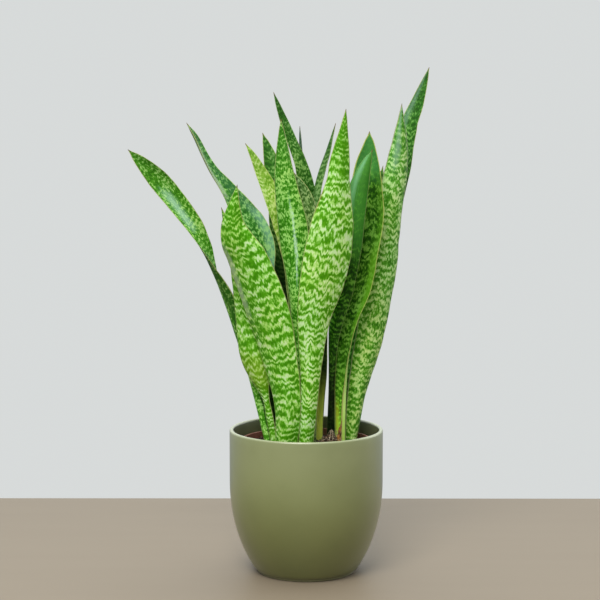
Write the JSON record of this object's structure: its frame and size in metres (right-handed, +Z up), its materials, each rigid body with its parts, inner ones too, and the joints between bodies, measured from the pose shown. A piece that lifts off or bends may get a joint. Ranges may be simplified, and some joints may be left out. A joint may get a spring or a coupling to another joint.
{
  "type": "potted snake plant",
  "caption": "Upright snake plant with banded sword-shaped leaves in soil, standing in a nursery pot inside a round-bottomed glazed cover pot.",
  "frame": {"origin": "centre of the cover pot's flat base, on the surface it stands on", "axes": "+Z up along the pot's axis, -Y towards the front of the plant, +X to the right seen from the front"},
  "size_m": [0.3109, 0.1665, 0.5262],
  "materials": {
    "cover_glaze": "satin olive-green glaze",
    "nursery_plastic": "matt terracotta-coloured plastic",
    "soil": "rough dark potting soil with bark crumbs",
    "leaf_bright": "waxy pale green with dark-green zigzag bands",
    "leaf_middle": "waxy mid green with fine pale mottling",
    "leaf_dark": "waxy dark green with pale mottling",
    "leaf_yellow": "waxy yellow-green with pale mottling",
    "dry_leaf": "dry papery brown"
  },
  "bodies": {
    "root": {"cover_pot": "cover_glaze", "nursery_pot": "nursery_plastic", "soil": "soil", "dry_sheath": "dry_leaf", "leaf_front_left": "leaf_bright", "leaf_front_centre": "leaf_bright", "leaf_front_right": "leaf_middle", "leaf_right_tall": "leaf_middle", "leaf_back_right_tallest": "leaf_dark", "leaf_centre_long": "leaf_middle", "leaf_back_centre_tall": "leaf_dark", "leaf_centre_yellow": "leaf_yellow", "leaf_back_left_small": "leaf_dark", "leaf_back_thin": "leaf_middle", "leaf_back_leaning_thin": "leaf_middle", "leaf_centre_short": "leaf_dark", "leaf_right_inner": "leaf_dark", "leaf_back_right_short": "leaf_dark", "leaf_far_left_long": "leaf_middle", "leaf_left_twisted": "leaf_dark", "leaf_left_low": "leaf_bright"}
  },
  "joints": []
}
